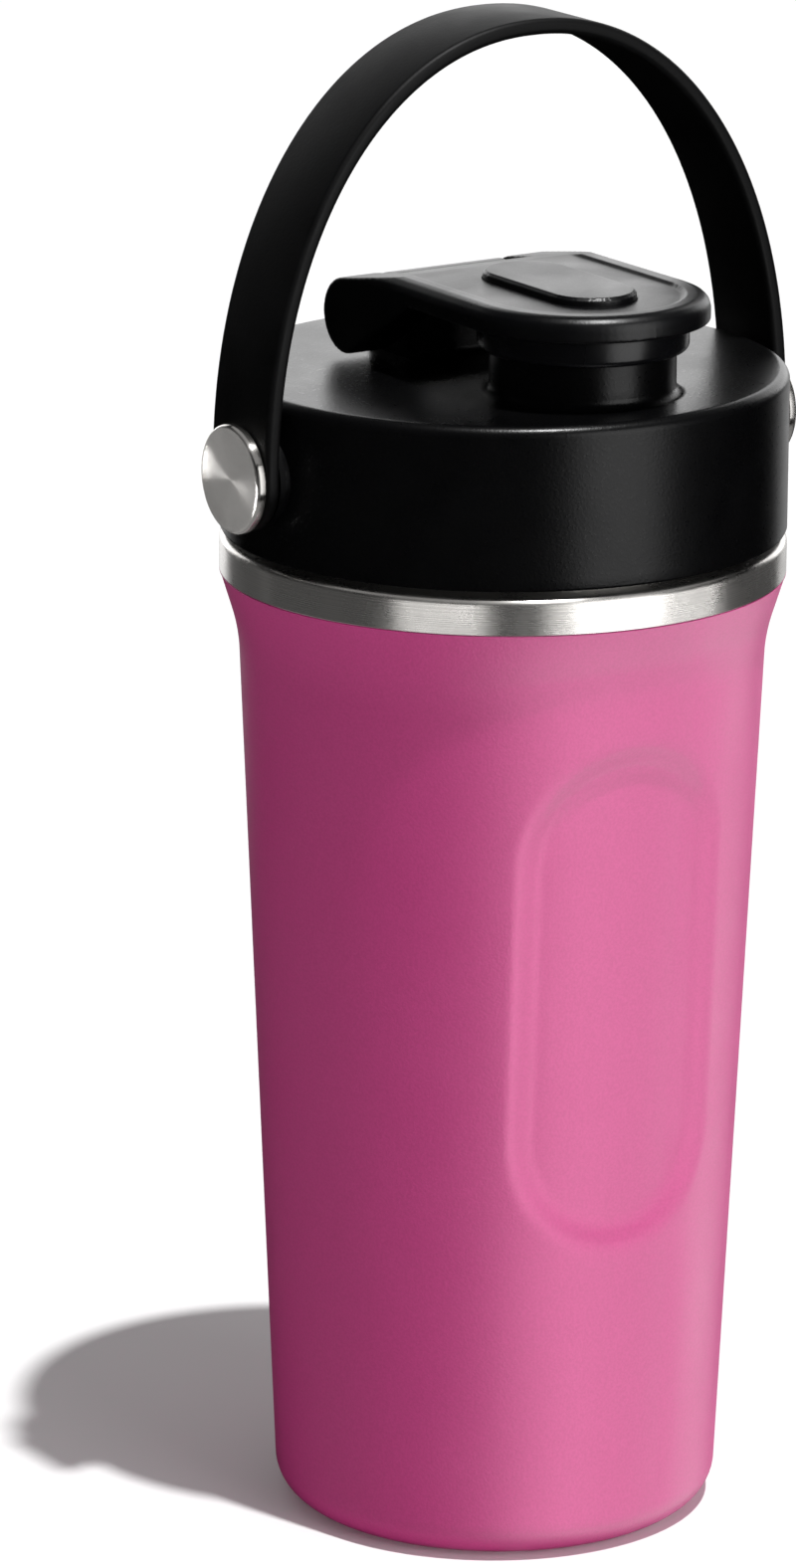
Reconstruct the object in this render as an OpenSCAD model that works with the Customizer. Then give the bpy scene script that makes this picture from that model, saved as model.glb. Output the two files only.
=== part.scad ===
// Insulated protein shaker bottle: steel flask, screw lid with a flip cap, carry strap and mixing grid.
// Origin at the centre of the base, +Z up, spout towards -Y, strap pivots along X.

/* [Flask] */
// Outside radius of the bare steel band, and of the lid above it
rim_r = 46; // [45.5:0.1:46.5]
// Outside radius of the body just above the rounded base
base_r = 36.7; // [36:0.1:37.5]
// Radius of the rounding between the base and the wall
base_round = 6.6; // [5:0.2:7.5]
// Outside radius of the body where the flare to the band starts
waist_r = 42.7; // [42.3:0.1:43]
// Height at which the flare starts
waist_z = 145; // [143:0.5:147]
// Height of the lower edge of the bare steel band
band_z = 158.8; // [158:0.2:159.4]
// Height of the flat shoulder on top of the band
shoulder_z = 164.8; // [164:0.2:165]
// Height of the drinking rim of the neck
mouth_z = 182; // [181:0.2:182]
// Sheet thickness of the outer wall
shell_t = 0.8; // [0.6:0.1:1]
// Sheet thickness of the inner wall and neck
liner_t = 0.6; // [0.5:0.1:0.8]
// Width of the vacuum gap between the two walls
vacuum_gap = 2.6; // [2.4:0.1:2.8]

/* [Grip recess] */
// Depth of the thumb and finger recesses pressed into the body
grip_depth = 1.8; // [1:0.1:1.8]
// Width of each recess
grip_w = 37; // [30:1:40]
// Height of each recess, end to end
grip_h = 83; // [70:1:90]
// Height of the middle of each recess
grip_z = 96; // [92:1:100]
// Angle of the front recess from the spout's side of the flask
grip_turn = -3; // [-6:1:6]

/* [Lid] */
// Height of the lower edge of the lid
lid_z = 165.9; // [165.6:0.1:166]
// Height of the lid's flat deck
deck_z = 192.3; // [192:0.1:193]
// Wall thickness of the lid shell
lid_t = 2; // [1.8:0.1:2]
// Lead of the three-start screw thread, in one turn
thread_lead = 15; // [12:1:15]
// Distance of the spout from the middle of the lid
spout_y = 22.4; // [21:0.2:23]
// Outside radius of the spout
spout_r = 14.9; // [14.4:0.1:15]
// Height of the spout's rim
spout_z = 201.8; // [201:0.2:202]

/* [Flip cap] */
// Half the width of the flip cap at the spout
cap_r = 20.2; // [19.8:0.1:20.4]
// Angle by which each side of the flip cap draws in towards the hinge
cap_flare = 0.3; // [0:0.1:1]
// Height of the flip cap's top
cap_z = 208.2; // [208:0.1:208.8]
// Distance of the hinge pin from the middle of the lid
hinge_y = 17; // [16.8:0.1:18]
// Height of the hinge pin
hinge_z = 199.3; // [199.2:0.1:199.6]

/* [Strap] */
// Height of the strap's two pivots
pivot_z = 179.6; // [179:0.2:181]
// Half the strap's width across the lid, to its outside face
strap_a = 50.3; // [50:0.1:50.4]
// Rise of the strap above its pivots, to its outside face
strap_b = 70; // [66:1:75]
// Thickness of the strap
strap_t = 2.6; // [2.4:0.1:2.8]
// Width of the strap
strap_w = 17; // [17:0.5:20]

/* [Mixing grid] */
// Number of ribs in the mixing grid
grid_ribs = 12; // [8:2:16]
// Depth of the mixing grid's dome below its collar
grid_depth = 17; // [12:1:18]

/* [Hidden] */
$fn = 96;
eps = 0.01;
slip = 0.05;                          // clearance between parts that turn or slide on each other

// Flask
flat_r = base_r - base_round;         // radius where the flat foot ring meets the rounding
foot_r = 26;                          // radius of the opening in the foot ring
taper = (waist_r - base_r) / (waist_z - base_round);
bend_r = 30;                          // radius of the bend at the start of the flare
flare_a = 17.5;                       // slope of the flare from the vertical
liner_inset = shell_t + vacuum_gap;
liner_z = 7;                          // underside of the inner wall
neck_r = 40.6;                        // outside radius of the neck
neck_z = 158;                         // height at which the neck turns straight
bead_r = 0.6;                         // radius of the rolled rim
grip_sides = [0, 180];
getter_x = 13;                        // distance of the getter from the middle of the foot
getter_r = 5;
getter_z = 3.4;

// Screw thread: one spiral ridge and its mate in the lid
thread_starts = 3;
thread_h = 1.1;
thread_foot = 0.95;                   // half the ridge's width at its foot
thread_tip = 0.5;                     // half the ridge's width at its crest
thread_sweep = 150;
thread_step = 6;
thread_z = 169.4;                     // height of the neck ridge's lower end
thread_gap = 1.6;                     // drop from the neck's ridge to the lid's ridge
core_bore = 42.1;                     // inside radius of the threaded lid core

// Lid
core_r = rim_r - lid_t - 0.1;
core_z = 166.6;
core_deck_z = 184.5;
core_deck_t = 1.8;
under_deck_z = deck_z - lid_t;
lid_round = 1.8;
spout_bore = spout_r - 2;
lug_r = 6.1;                          // radius of the lid's hinge knuckle
lug_w = 11.3;                         // half the knuckle's width
ear_in = 12.6;                        // half the gap between the flip cap's ears
ear_r = 6.2;
pin_r = 1.5;
pin_half = 16.6;                      // half the length of the hinge pin's hole
collar_r = 38;                        // outside radius of the ring that holds the mixing grid
collar_t = 1.5;
collar_z = 178.5;
gasket_in = 39;                       // inside radius of the lid gasket
gasket_out = 41.7;
gasket_low = mouth_z + 0.1;
gasket_top = core_deck_z - 0.1;

// Strap pivots
post_r = 5.5;
post_end = strap_a + 0.1;
boss_x = 46.5;                        // outer face of the boss that each washer rests on
boss_r = 7.6;
washer_r = 8.2;
washer_t = strap_a - strap_t - boss_x - 0.2;
relief_r = 8.6;                       // radius of the strap's recess round each washer
shank_r = 2.5;
shank_in = 46.2;                      // inner end of the hole for the pin's shank
head_r = 8.8;
head_t = 1.7;
strap_power = 2.12;                   // squareness of the strap's arch

// Flip cap
plate_under = cap_z - 4.1;
plate_skin = cap_z - 2;
plate_back = 11;                      // where the slot between the ears begins
slope_y = 2.5;                        // where the cap's top starts to slope down to the hinge
dish_z = cap_z - 0.5;
dish_inset = 4.1;                     // width of the raised border round the dish
pad_r = 7.3;
pad_front = -24.4;
pad_back = -6.6;
pad_low = plate_skin + 0.6;
seal_r = 16.9;
seal_z = 199.4;
plug_r = 11.2;
plug_z = spout_z - 4.2;

// Points of an arc about [cr, cz], from angle a to angle b
function arc(cr, cz, r, a, b, n = 8) =
    [for (i = [0 : n]) [cr + r * cos(a + (b - a) * i / n), cz + r * sin(a + (b - a) * i / n)]];

function reversed(list) = [for (i = [len(list) - 1 : -1 : 0]) list[i]];

// Body radius at height z, below the flare
function body_r(z) = base_r + taper * (z - base_round);

// Outline of the body from the foot to the band, moved inwards by inset
function outline(inset) = concat(
    [[foot_r, inset]],
    arc(flat_r, base_round, base_round - inset, -90, 0),
    [for (p = arc(waist_r + bend_r * cos(atan(taper)), waist_z - bend_r * sin(atan(taper)),
        bend_r, 180 - atan(taper), 180 - flare_a, 6)) [p[0] - inset, p[1]]],
    [[rim_r - inset, band_z]]);

module body_solid(inset) {
    rotate_extrude()
        polygon(concat([[0, inset]], outline(inset), [[rim_r - inset, band_z + eps], [0, band_z + eps]]));
}

// Upright stadium, long enough to cut one side of the flask
module grip_prism(grow) {
    reach = rim_r + 4;
    translate([0, -reach / 2, grip_z]) rotate([90, 0, 0])
        linear_extrude(reach, center = true) {
            square([grip_w + 2 * grow, grip_h - grip_w], center = true);
            for (side = [-1, 1])
                translate([0, side * (grip_h - grip_w) / 2]) circle(grip_w / 2 + grow);
        }
}

// What each grip takes out of a wall whose floor lies inset below the body's surface
module grip_cuts(grow, inset) {
    for (side = grip_sides)
        rotate(grip_turn + side)
            intersection() {
                grip_prism(grow);
                difference() {
                    translate([0, 0, base_round]) cylinder(r = rim_r + 5, h = waist_z - base_round);
                    body_solid(inset);
                }
            }
}

module outer_shell() {
    color("hotpink")
    difference() {
        body_solid(0);
        grip_cuts(0, grip_depth);
        difference() {
            body_solid(shell_t);
            grip_cuts(shell_t, grip_depth + shell_t);
        }
        translate([0, 0, -1]) cylinder(r = foot_r, h = 3);
        translate([0, 0, band_z]) cylinder(r = rim_r - shell_t, h = 1);
    }
}

// Bare steel band with the shoulder that carries the neck
module shoulder_ring() {
    corner = 1.2;
    color("silver")
    rotate_extrude()
        polygon(concat(
            [[rim_r - shell_t, band_z + 0.02], [rim_r, band_z + 0.02]],
            arc(rim_r - corner, shoulder_z - corner, corner, 0, 90, 6),
            [[neck_r + 0.02, shoulder_z], [neck_r + 0.02, shoulder_z - shell_t]],
            reversed(arc(rim_r - corner, shoulder_z - corner, corner - shell_t, 0, 90, 4))));
}

// Spiral ridges standing from radius root to radius crest, faded out at both ends
module thread(root, crest, z) {
    n = thread_sweep / thread_step;
    fade = 3;                                    // steps over which each end sinks into the wall
    sunk = root + (root > crest ? 0.3 : -0.3);   // the ridge's foot is buried in the wall
    points = [for (i = [0 : n])
        let (a = i * thread_step, h = min(1, i / fade, (n - i) / fade), mid = thread_lead * a / 360,
            r = sunk + (crest - sunk) * max(h, 0.08), tip = thread_foot + (thread_tip - thread_foot) * h)
        for (p = [[sunk, -thread_foot], [r, -tip], [r, tip], [sunk, thread_foot]])
            [p[0] * cos(a), p[0] * sin(a), mid + p[1]]];
    sides = [for (i = [0 : n - 1], k = [0 : 3])
        [4 * i + k, 4 * i + (k + 1) % 4, 4 * i + 4 + (k + 1) % 4, 4 * i + 4 + k]];
    flip = root > crest;
    faces = concat([[3, 2, 1, 0]], sides, [[4 * n, 4 * n + 1, 4 * n + 2, 4 * n + 3]]);
    for (start = [0 : thread_starts - 1])
        rotate(start * 360 / thread_starts) translate([0, 0, z])
            polyhedron(points, flip ? [for (f = faces) reversed(f)] : faces, convexity = 4);
}

module inner_liner() {
    foot = 8;
    inner = liner_t;
    low_r = body_r(liner_z + foot) - liner_inset;
    top_r = waist_r - liner_inset;
    color("gainsboro") {
        rotate_extrude()
            polygon(concat(
                [[0, liner_z]],
                arc(low_r - foot, liner_z + foot, foot, -90, 0),
                [[top_r, waist_z], [neck_r, neck_z], [neck_r, mouth_z - bead_r],
                    [neck_r - inner, mouth_z - bead_r], [neck_r - inner, neck_z],
                    [top_r - inner, waist_z]],
                reversed(arc(low_r - foot, liner_z + foot, foot - inner, -90, 0)),
                [[0, liner_z + inner]]));
        translate([0, 0, mouth_z - bead_r]) rotate_extrude()
            translate([neck_r - bead_r + 0.1, 0]) circle(bead_r);
    }
}

// Ridges welded to the outside of the neck
module neck_thread() {
    color("gainsboro") thread(neck_r, neck_r + thread_h, thread_z);
}

// Matching ridges inside the lid
module lid_thread() {
    color("#26272a") thread(core_bore, core_bore - thread_h, thread_z - thread_gap);
}

// Dished disc that closes the foot, with the evacuation hole in its dimple
module base_cap() {
    top = 2.6;
    color("silver")
    rotate_extrude()
        polygon([[0.5, top + 1.2], [2.5, top + 1.2], [6, top], [21, top], [24.5, shell_t], [28, shell_t],
            [28, 2 * shell_t], [25, 2 * shell_t], [21.4, top + shell_t], [6, top + shell_t],
            [2.6, top + 1.2 + shell_t], [0.5, top + 1.2 + shell_t]]);
}

module getter() {
    color("dimgray")
    translate([getter_x, 0, getter_z]) {
        difference() {
            cylinder(r = getter_r, h = 1.8);
            translate([0, 0, 0.9]) cylinder(r = getter_r - 0.8, h = 2);
        }
        translate([0, 0, 0.9]) cylinder(r = getter_r - 0.8, h = 0.7);
    }
}

// Bead that plugs the evacuation hole from below
module seal_bead() {
    color("darkslategray")
    rotate_extrude()
        polygon([[0, 2.9], [1.6, 3.1], [2.3, 3.5], [2.3, 3.8], [0.5, 3.8], [0.5, 4.4], [0, 4.4]]);
}

module lid_gasket() {
    color("whitesmoke")
    rotate_extrude()
        polygon([[gasket_in, gasket_low + 0.1], [gasket_in + 0.4, gasket_low], [gasket_out - 0.4, gasket_low],
            [gasket_out, gasket_low + 0.4], [gasket_out, gasket_top - 0.3], [gasket_out - 0.4, gasket_top],
            [gasket_in + 0.4, gasket_top], [gasket_in, gasket_top - 0.3]]);
}

module at_spout(z) {
    translate([0, -spout_y, z]) children();
}

module lid_shell() {
    foot = 1.7;
    color("#1b1c1e")
    difference() {
        union() {
            rotate_extrude()
                polygon(concat(
                    [[rim_r - lid_t, lid_z], [rim_r - 0.5, lid_z], [rim_r, lid_z + 0.5]],
                    arc(rim_r - lid_round, deck_z - lid_round, lid_round, 0, 90, 6),
                    [[0, deck_z], [0, under_deck_z], [rim_r - lid_t, under_deck_z]]));
            at_spout(core_deck_z) cylinder(r = spout_r, h = spout_z - core_deck_z);
            at_spout(0) rotate_extrude()
                polygon(concat([[spout_r - 1, deck_z - 1], [spout_r + foot, deck_z - 1]],
                    reversed(arc(spout_r + foot, deck_z + foot, foot, 180, 270, 5)),
                    [[spout_r - 1, deck_z + foot]]));
            translate([-lug_w, hinge_y, hinge_z]) rotate([0, 90, 0]) cylinder(r = lug_r, h = 2 * lug_w);
            translate([-lug_w, hinge_y - lug_r, deck_z - 1])
                cube([2 * lug_w, 2 * lug_r, hinge_z - deck_z + 1]);
            for (side = [-1, 1])
                translate([side * (rim_r - 1.5), 0, pivot_z]) rotate([0, side * 90, 0]) {
                    cylinder(r = post_r, h = post_end - rim_r + 1.5);
                    cylinder(r = boss_r, h = boss_x - rim_r + 1.5);
                }
        }
        at_spout(core_deck_z - 1) cylinder(r = spout_bore, h = 30);
        translate([-20, hinge_y, hinge_z]) rotate([0, 90, 0]) cylinder(r = pin_r + slip, h = 40);
        for (side = [-1, 1])
            translate([side * shank_in, 0, pivot_z]) rotate([0, side * 90, 0])
                cylinder(r = shank_r + slip / 2, h = 10);
    }
}

// Inner moulding that carries the lid's thread, welded into the shell
module lid_core() {
    color("#26272a")
    difference() {
        rotate_extrude()
            polygon([[core_bore, core_z], [core_r, core_z], [core_r, core_deck_z + core_deck_t],
                [0, core_deck_z + core_deck_t], [0, core_deck_z],
                [collar_r - collar_t, core_deck_z], [collar_r - collar_t, collar_z],
                [collar_r, collar_z], [collar_r, core_deck_z], [core_bore, core_deck_z]]);
        at_spout(core_deck_z - 0.5) cylinder(r = spout_r + slip, h = 5);
    }
}

// Foam disc between the core and the deck
module lid_insulation() {
    low = core_deck_z + core_deck_t + 0.1;
    color("lightgray")
    difference() {
        translate([0, 0, low]) cylinder(r = core_r - 0.4, h = under_deck_z - 0.1 - low);
        at_spout(low - 1) cylinder(r = spout_r + 0.4, h = 8);
    }
}

// Low-friction washer between the lid and one end of the strap
module strap_washer(side) {
    color("#3a3b3e")
    translate([side * (boss_x + slip), 0, pivot_z]) rotate([0, side * 90, 0])
        difference() {
            cylinder(r = washer_r, h = washer_t);
            translate([0, 0, -1]) cylinder(r = post_r + slip, h = washer_t + 2);
        }
}

// Headed steel pin pressed into the post, which keeps the strap on
module pin_cap(side) {
    start = post_end + slip;
    color("silver")
    translate([0, 0, pivot_z]) rotate([0, side * 90, 0])
        rotate_extrude()
            polygon([[0, shank_in + 0.2], [shank_r - 0.3, shank_in + 0.2], [shank_r, shank_in + 0.5],
                [shank_r, start], [head_r - 0.3, start], [head_r, start + 0.3],
                [head_r, start + head_t - 0.6], [head_r - 0.7, start + head_t], [0, start + head_t]]);
}

// Plan of the flip cap, shrunk by inset: a round front and sides that draw in towards the hinge
module cap_plan(inset) {
    r = cap_r - inset;
    side = [r * cos(cap_flare) - 60 * sin(cap_flare), r * sin(cap_flare) + 60 * cos(cap_flare)];
    translate([0, -spout_y])
        polygon(concat(arc(0, 0, r, cap_flare, -180 - cap_flare, 48), [[-side[0], side[1]], side]));
}

// The part of the flip cap's plan ahead of y, shrunk by inset
module cap_front(inset, y) {
    intersection() {
        cap_plan(inset);
        translate([-30, -60]) square([60, 60 + y]);
    }
}

module along_x(from, to) {
    translate([from, 0, 0]) rotate([90, 0, 90]) linear_extrude(to - from) children();
}

// Tapered block with a rounded top edge, which the flip cap is cut from
module cap_block() {
    rim = 2;
    slab = 0.01;
    low = hinge_z - ear_r - 1;
    hull() {
        translate([0, 0, low]) linear_extrude(cap_z - rim - low) cap_plan(0);
        for (a = [30, 60, 90])
            translate([0, 0, cap_z - rim * (1 - sin(a)) - slab])
                linear_extrude(slab) cap_plan(rim * (1 - cos(a)));
    }
}

// Side view of the flip cap, drawn in Y and Z: level plate, slope, and round ear at the hinge
module cap_profile() {
    back = arc(hinge_y, hinge_z, ear_r, 76, -112, 20);
    fall = (cap_z - back[0][1]) / (back[0][0] - slope_y);
    polygon(concat([[-50, plate_under], [-50, cap_z + 1], [slope_y - 1 / fall, cap_z + 1]], back,
        [[-2, plate_under]]));
}

module cap_plate() {
    color("#202124")
    difference() {
        intersection() {
            cap_block();
            along_x(-cap_r - 1, cap_r + 1) cap_profile();
        }
        translate([-ear_in, plate_back, hinge_z - 10]) cube([2 * ear_in, 30, 30]);
        translate([-ear_in, -10, hinge_z - 10]) cube([2 * ear_in, 40, plate_under - hinge_z + 10]);
        translate([0, 0, dish_z]) linear_extrude(5) cap_front(dish_inset, slope_y + 4);
        translate([0, 0, plate_under - 1]) linear_extrude(plate_skin - plate_under + 1) cap_front(2, 2);
        translate([0, 0, pad_low]) linear_extrude(5) pad_plan(-slip);
        translate([-pin_half, hinge_y, hinge_z]) rotate([0, 90, 0])
            cylinder(r = pin_r, h = 2 * pin_half);
    }
}

module pad_plan(inset) {
    hull()
        for (y = [pad_front, pad_back]) translate([0, y]) circle(pad_r - inset, $fn = 48);
}

// Raised thumb rest set into the top of the flip cap
module thumb_pad() {
    high = cap_z + 0.8;
    color("#2c2d31") {
        translate([0, 0, pad_low]) linear_extrude(high - 0.4 - pad_low) pad_plan(0);
        translate([0, 0, high - 0.4]) linear_extrude(0.4) pad_plan(0.4);
    }
}

// Boss under the flip cap that presses the seal into the spout
module plug_carrier() {
    color("#2a2b2e")
    at_spout(0) rotate_extrude()
        polygon([[0, plug_z], [plug_r - 0.4, plug_z], [plug_r, plug_z + 0.4], [plug_r, plate_under],
            [cap_r - 2.5, plate_under], [cap_r - 2.5, plate_skin - 0.1], [0, plate_skin - 0.1]]);
}

// Silicone cup that closes over the spout's rim
module spout_seal() {
    lip = spout_bore - 0.15;
    skirt = spout_r + 0.35;
    roof = spout_z + 0.5;
    bore = plug_r + slip;
    color("#17181c")
    at_spout(0) rotate_extrude()
        polygon(concat([[bore, plug_z + 0.4], [lip - 0.4, plug_z + 0.4], [lip, plug_z + 0.9], [lip, roof],
            [skirt, roof], [skirt, seal_z]], arc(seal_r - 1, seal_z + 1, 1, -90, 0, 4),
            [[seal_r, plate_under - slip], [bore, plate_under - slip]]));
}

module hinge_pin() {
    color("silver")
    translate([0.2 - pin_half, hinge_y, hinge_z]) rotate([0, 90, 0])
        cylinder(r = pin_r, h = 2 * pin_half - 0.4);
}

// Half arch of the strap, moved inwards by inset
function arch(inset) = [for (t = [0 : 3 : 180])
    let (c = cos(t), s = sin(t), k = 2 / strap_power)
        [(strap_a - inset) * sign(c) * pow(abs(c), k), (strap_b - inset) * pow(s, k)]];

module strap() {
    relief = strap_a - strap_t + 0.04;
    color("#202123")
    difference() {
        union() {
            translate([0, 0, pivot_z]) rotate([90, 0, 0]) linear_extrude(strap_w, center = true)
                polygon(concat(arch(0), reversed(arch(strap_t))));
            for (side = [-1, 1])
                translate([side * (strap_a - strap_t), 0, pivot_z]) rotate([0, side * 90, 0])
                    cylinder(r = strap_w / 2, h = strap_t);
        }
        translate([-60, 0, pivot_z]) rotate([0, 90, 0]) cylinder(r = post_r + 0.08, h = 120);
        translate([0.02 - relief, 0, pivot_z]) rotate([0, 90, 0])
            cylinder(r = relief_r, h = 2 * relief - 0.04);
    }
}

// Radius of the grid's dome at depth d below its collar
function dome_r(d) = 34.9 * sqrt(max(0, 1 - pow(d / (grid_depth + 0.6), 2)));

module mixing_grid() {
    out = collar_r - collar_t - 0.15;
    bar = 1.5;
    low = 177;
    color("#33353a")
    union() {
        rotate_extrude() polygon([[out - 1.6, low], [out + 1.3, low], [out + 1.3, collar_z - 0.3],
            [out, collar_z - 0.3], [out, 184], [out - 1.6, 184]]);
        for (share = [0.55, 0.85])
            let (d = grid_depth * share)
                translate([0, 0, low - d]) rotate_extrude()
                    translate([dome_r(d) - bar, 0]) square([bar + 0.4, bar]);
        translate([0, 0, low - grid_depth]) cylinder(r = 6, h = bar);
        for (i = [0 : grid_ribs - 1])
            rotate(i * 360 / grid_ribs) rotate([90, 0, 0]) linear_extrude(bar, center = true)
                polygon(concat(
                    [for (k = [0 : 8]) let (d = grid_depth * k / 8) [dome_r(d), low - d]],
                    [[3, low - grid_depth], [3, low - grid_depth + bar]],
                    reversed([for (k = [0 : 7]) let (d = grid_depth * k / 8)
                        [dome_r(d) - 2.2, low - d + (k == 0 ? 0.5 : bar)]])));
    }
}

outer_shell();
shoulder_ring();
inner_liner();
neck_thread();
base_cap();
getter();
seal_bead();
lid_gasket();
lid_shell();
lid_core();
lid_thread();
lid_insulation();
strap_washer(-1);  // strap_washer_left
strap_washer(1);  // strap_washer_right
pin_cap(-1);  // pin_cap_left
pin_cap(1);  // pin_cap_right
cap_plate();
thumb_pad();
plug_carrier();
spout_seal();
hinge_pin();
strap();
mixing_grid();
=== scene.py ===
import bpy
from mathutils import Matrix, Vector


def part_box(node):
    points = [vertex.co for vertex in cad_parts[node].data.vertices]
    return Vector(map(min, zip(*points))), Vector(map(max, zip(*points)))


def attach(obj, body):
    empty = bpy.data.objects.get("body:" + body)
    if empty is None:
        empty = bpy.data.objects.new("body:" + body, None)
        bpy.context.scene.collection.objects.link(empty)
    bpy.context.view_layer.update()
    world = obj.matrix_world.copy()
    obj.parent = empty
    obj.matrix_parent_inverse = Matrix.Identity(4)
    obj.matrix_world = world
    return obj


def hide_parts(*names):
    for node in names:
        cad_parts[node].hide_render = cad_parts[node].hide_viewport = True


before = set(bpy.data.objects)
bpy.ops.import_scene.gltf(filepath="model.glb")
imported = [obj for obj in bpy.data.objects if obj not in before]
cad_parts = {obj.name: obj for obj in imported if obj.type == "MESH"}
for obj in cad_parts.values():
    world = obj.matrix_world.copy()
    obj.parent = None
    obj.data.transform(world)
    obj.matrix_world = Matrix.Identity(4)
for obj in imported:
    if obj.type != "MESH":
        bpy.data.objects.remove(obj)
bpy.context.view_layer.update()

import math

import bmesh
import bpy
from mathutils import Matrix, Vector

mm = 0.001
turn = 2 * math.pi
scene = bpy.context.scene
scene.view_settings.view_transform = "Standard"


def nodeCentre(node):
    low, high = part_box(node)
    return (low + high) / 2


# helpers for meshes, all in millimetres until the mesh is made

def arcPoints(centreR, centreZ, radius, start, end, steps=8):
    angles = [math.radians(start + (end - start) * i / steps) for i in range(steps + 1)]
    return [(centreR + radius * math.cos(a), centreZ + radius * math.sin(a)) for a in angles]


def makeObject(name, mesh):
    piece = bpy.data.objects.new(name, mesh)
    scene.collection.objects.link(piece)
    return piece


def loftMesh(name, rings, capped=False, ringClosed=True, rowsClosed=False):
    # rings: lists of points of one length, joined row to row
    count = len(rings[0])
    verts = [Vector(p) * mm for ring in rings for p in ring]
    faces = []
    rows = len(rings) if rowsClosed else len(rings) - 1
    for row in range(rows):
        a = row * count
        b = (row + 1) % len(rings) * count
        for i in range(count if ringClosed else count - 1):
            j = (i + 1) % count
            faces.append((a + i, a + j, b + j, b + i))
    if capped:
        faces.append(tuple(range(count - 1, -1, -1)))
        last = (len(rings) - 1) * count
        faces.append(tuple(last + i for i in range(count)))
    mesh = bpy.data.meshes.new(name)
    mesh.from_pydata(verts, [], faces)
    work = bmesh.new()
    work.from_mesh(mesh)
    bmesh.ops.remove_doubles(work, verts=work.verts, dist=1e-7)
    bmesh.ops.recalc_face_normals(work, faces=work.faces)
    work.to_mesh(mesh)
    work.free()
    return mesh


def latheRings(profile, segments, place=None):
    # profile: (radius, height) pairs, turned about Z, then put in place by a matrix
    rings = []
    for radius, height in profile:
        ring = [Vector((radius * math.cos(turn * i / segments), radius * math.sin(turn * i / segments), height))
                for i in range(segments)]
        rings.append([place @ p for p in ring] if place else ring)
    return rings


def smoothShade(piece, sharpDegrees=32):
    piece.data.polygons.foreach_set("use_smooth", [True] * len(piece.data.polygons))
    piece.data.set_sharp_from_angle(angle=math.radians(sharpDegrees))
    return piece


def applyModifiers(piece):
    # the finished shape becomes the plain mesh
    graph = bpy.context.evaluated_depsgraph_get()
    mesh = bpy.data.meshes.new_from_object(piece.evaluated_get(graph))
    piece.modifiers.clear()
    piece.data = mesh
    return piece


def settle(piece, material, body, slotName, *nodes):
    piece.data.materials.clear()
    piece.data.materials.append(material)
    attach(piece, body)
    if nodes:
        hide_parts(*nodes)
    return piece


# helpers for node trees

def hexToLinear(text):
    parts = [int(text[i:i + 2], 16) / 255 for i in (1, 3, 5)]
    return tuple(c / 12.92 if c <= 0.04045 else ((c + 0.055) / 1.055) ** 2.4 for c in parts) + (1.0,)


def addNode(tree, kind, settings=None, inputs=None):
    # inputs: socket name or number to a value, or to the output socket that feeds it
    node = tree.nodes.new(kind)
    for key, value in (settings or {}).items():
        setattr(node, key, value)
    for key, value in (inputs or {}).items():
        if isinstance(value, bpy.types.NodeSocket):
            tree.links.new(value, node.inputs[key])
        else:
            node.inputs[key].default_value = value
    return node


def newMaterial(name):
    material = bpy.data.materials.new(name)
    material.use_nodes = True
    tree = material.node_tree
    tree.nodes.clear()
    coords = addNode(tree, "ShaderNodeTexCoord")
    shader = addNode(tree, "ShaderNodeBsdfPrincipled")
    output = addNode(tree, "ShaderNodeOutputMaterial")
    tree.links.new(shader.outputs["BSDF"], output.inputs["Surface"])
    return material, tree, coords.outputs["Object"], shader


def scaleFor(sizeMm):
    # a texture scale that makes one cell of the pattern this wide
    return 1 / (sizeMm * mm)


def rangeOf(tree, value, low, high, fromLow=0.0, fromHigh=1.0):
    node = addNode(tree, "ShaderNodeMapRange", None, {
        "Value": value, "From Min": fromLow, "From Max": fromHigh, "To Min": low, "To Max": high})
    return node.outputs["Result"]


def grainBump(tree, point, sizeMm, depthMm, shader):
    # a fine noise, as relief on the shader; the noise itself is handed back
    grain = addNode(tree, "ShaderNodeTexNoise", None, {
        "Vector": point, "Scale": scaleFor(sizeMm), "Detail": 3.0, "Roughness": 0.55}).outputs["Fac"]
    bump = addNode(tree, "ShaderNodeBump", None, {"Height": grain, "Distance": depthMm * mm, "Strength": 1.0})
    tree.links.new(bump.outputs["Normal"], shader.inputs["Normal"])
    return grain


def mixColour(tree, share, first, second):
    node = addNode(tree, "ShaderNodeMix", {"data_type": "RGBA"}, {0: share, 6: first, 7: second})
    return node.outputs[2]


# powder coat: pigmented polyester baked on steel, satin, with a fine sandy grain that spreads the light
powderFinish = {"lit": "#A92C6E", "deep": "#9C2664", "rubbed": "#B8708F", "grainMm": 0.42,
                "grainDepthMm": 0.035, "blotchMm": 24.0, "roughLow": 0.44, "roughHigh": 0.52, "specular": 0.3,
                "rubbedMm": 3.0}


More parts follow.
